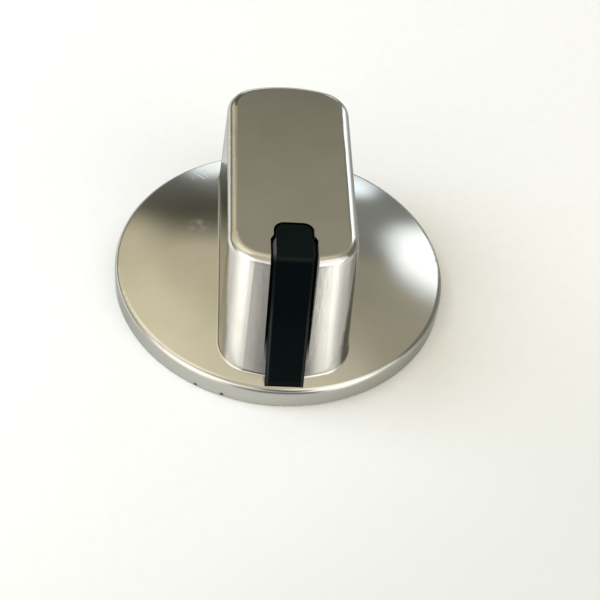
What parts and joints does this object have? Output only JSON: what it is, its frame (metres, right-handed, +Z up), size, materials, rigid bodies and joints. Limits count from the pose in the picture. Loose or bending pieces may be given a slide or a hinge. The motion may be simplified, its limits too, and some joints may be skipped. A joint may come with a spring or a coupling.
{
  "type": "oven control knob",
  "caption": "Satin metal-plated oven control knob: tall tapered grip on a round domed skirt, black pointer strip down the front, hollow underside with a sprung socket for a flatted shaft.",
  "frame": {"origin": "centre of the skirt's rim, on its underside", "axes": "+Z up the shaft's axis towards the grip's top, -Y towards the pointer, +X to the right of the pointer seen from the front"},
  "size_m": [0.06, 0.06, 0.028],
  "materials": {
    "plated_shell": "satin plated ABS, lightly scratched",
    "pointer": "black satin moulding",
    "hub": "dark heat-resistant moulding",
    "spring": "rolled spring steel"
  },
  "bodies": {
    "root": {"knob_shell": "plated_shell", "pointer_strip": "pointer", "shaft_hub": "hub", "leaf_spring": "spring"}
  },
  "joints": []
}
